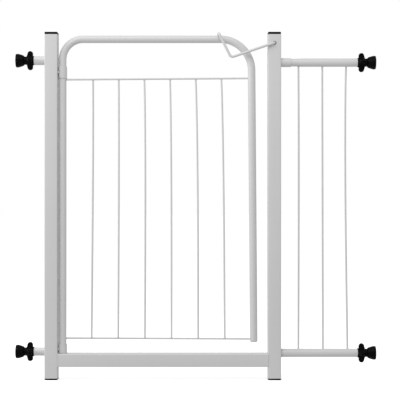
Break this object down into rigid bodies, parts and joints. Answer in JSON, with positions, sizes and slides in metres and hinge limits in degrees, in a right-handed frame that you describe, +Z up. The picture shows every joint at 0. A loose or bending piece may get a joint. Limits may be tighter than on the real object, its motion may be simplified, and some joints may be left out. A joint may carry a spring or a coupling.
{
  "type": "pet gate",
  "caption": "Pressure-fit metal pet gate with a swinging wire door, drop-over rod latch, plug-in extension panel and screw-out wall feet.",
  "frame": {"origin": "on the floor plane under the middle of the gate's overall width and depth", "axes": "+Z up, +X along the gate from the hinge post to the extension panel, -Y the latch side"},
  "size_m": [0.8248, 0.0438, 0.796],
  "materials": {
    "white_paint": "white powder coat, satin",
    "black_plastic": "moulded, fine grain",
    "black_rubber": "matt",
    "zinc_steel": "zinc plated"
  },
  "bodies": {
    "frame": {"left_post": "white_paint", "right_post": "white_paint", "bottom_rail": "white_paint", "left_post_top_cap": "black_plastic", "left_post_bottom_cap": "black_plastic", "right_post_top_cap": "black_plastic", "right_post_bottom_cap": "black_plastic", "upper_sleeve": "white_paint", "lower_sleeve": "white_paint", "upper_sleeve_front_weld": "white_paint", "upper_sleeve_back_weld": "white_paint", "lower_sleeve_front_weld": "white_paint", "lower_sleeve_back_weld": "white_paint", "left_upper_stub": "white_paint", "left_lower_stub": "white_paint", "right_upper_socket": "white_paint", "right_lower_collar": "white_paint", "left_upper_insert": "black_plastic", "left_lower_insert": "black_plastic"},
    "door": {"door_tube": "white_paint", "hinge_leg_glide": "black_plastic", "free_leg_tip": "white_paint", "door_top_wire": "white_paint", "door_bottom_wire": "white_paint", "door_wire_1": "white_paint", "door_wire_2": "white_paint", "door_wire_3": "white_paint", "door_wire_4": "white_paint", "door_wire_5": "white_paint", "door_wire_6": "white_paint"},
    "latch": {"latch_rod": "white_paint", "latch_washer": "zinc_steel"},
    "extension": {"extension_upper_tube": "white_paint", "extension_lower_tube": "white_paint", "extension_wire_1": "white_paint", "extension_wire_2": "white_paint", "extension_wire_3": "white_paint", "right_upper_insert": "black_plastic", "right_lower_insert": "black_plastic"},
    "left_upper_knob_body": {"left_upper_knob": "black_plastic"},
    "left_upper_screw_body": {"left_upper_screw": "zinc_steel", "left_upper_foot": "black_plastic", "left_upper_pad": "black_rubber"},
    "left_lower_knob_body": {"left_lower_knob": "black_plastic"},
    "left_lower_screw_body": {"left_lower_screw": "zinc_steel", "left_lower_foot": "black_plastic", "left_lower_pad": "black_rubber"},
    "right_upper_knob_body": {"right_upper_knob": "black_plastic"},
    "right_upper_screw_body": {"right_upper_screw": "zinc_steel", "right_upper_foot": "black_plastic", "right_upper_pad": "black_rubber"},
    "right_lower_knob_body": {"right_lower_knob": "black_plastic"},
    "right_lower_screw_body": {"right_lower_screw": "zinc_steel", "right_lower_foot": "black_plastic", "right_lower_pad": "black_rubber"}
  },
  "joints": [
    {"name": "door_swing", "type": "hinge", "parent": "frame", "child": "door", "pos_m": [-0.3056, 0, 0.0601], "axis": [0, 0, 1], "range_deg": [-92, 92]},
    {"name": "latch_lift", "type": "hinge", "parent": "frame", "child": "latch", "pos_m": [0.18, 0, 0.7708], "axis": [0, 1, 0], "range_deg": [0, 110]},
    {"name": "extension_pull", "type": "slide", "parent": "frame", "child": "extension", "axis": [1, 0, 0], "range_m": [0, 0.018]},
    {"name": "left_upper_knob_turn", "type": "hinge", "parent": "frame", "child": "left_upper_knob_body", "pos_m": [-0.371, 0, 0.7315], "axis": [-1, 0, 0], "range_deg": [0, 2161]},
    {"name": "left_upper_screw_out", "type": "slide", "parent": "frame", "child": "left_upper_screw_body", "axis": [-1, 0, 0], "range_m": [0, 0.024]},
    {"name": "left_lower_knob_turn", "type": "hinge", "parent": "frame", "child": "left_lower_knob_body", "pos_m": [-0.371, 0, 0.0639], "axis": [-1, 0, 0], "range_deg": [0, 2161]},
    {"name": "left_lower_screw_out", "type": "slide", "parent": "frame", "child": "left_lower_screw_body", "axis": [-1, 0, 0], "range_m": [0, 0.024]},
    {"name": "right_upper_knob_turn", "type": "hinge", "parent": "extension", "child": "right_upper_knob_body", "pos_m": [0.371, 0, 0.727], "axis": [1, 0, 0], "range_deg": [0, 2161]},
    {"name": "right_upper_screw_out", "type": "slide", "parent": "extension", "child": "right_upper_screw_body", "axis": [1, 0, 0], "range_m": [0, 0.024]},
    {"name": "right_lower_knob_turn", "type": "hinge", "parent": "extension", "child": "right_lower_knob_body", "pos_m": [0.371, 0, 0.0609], "axis": [1, 0, 0], "range_deg": [0, 2161]},
    {"name": "right_lower_screw_out", "type": "slide", "parent": "extension", "child": "right_lower_screw_body", "axis": [1, 0, 0], "range_m": [0, 0.024]}
  ],
  "couplings": [
    {"joint": "left_upper_knob_turn", "follows": "left_upper_screw_out", "rad_per_m": 1570.8},
    {"joint": "left_lower_knob_turn", "follows": "left_lower_screw_out", "rad_per_m": 1570.8},
    {"joint": "right_upper_knob_turn", "follows": "right_upper_screw_out", "rad_per_m": 1570.8},
    {"joint": "right_lower_knob_turn", "follows": "right_lower_screw_out", "rad_per_m": 1570.8}
  ]
}
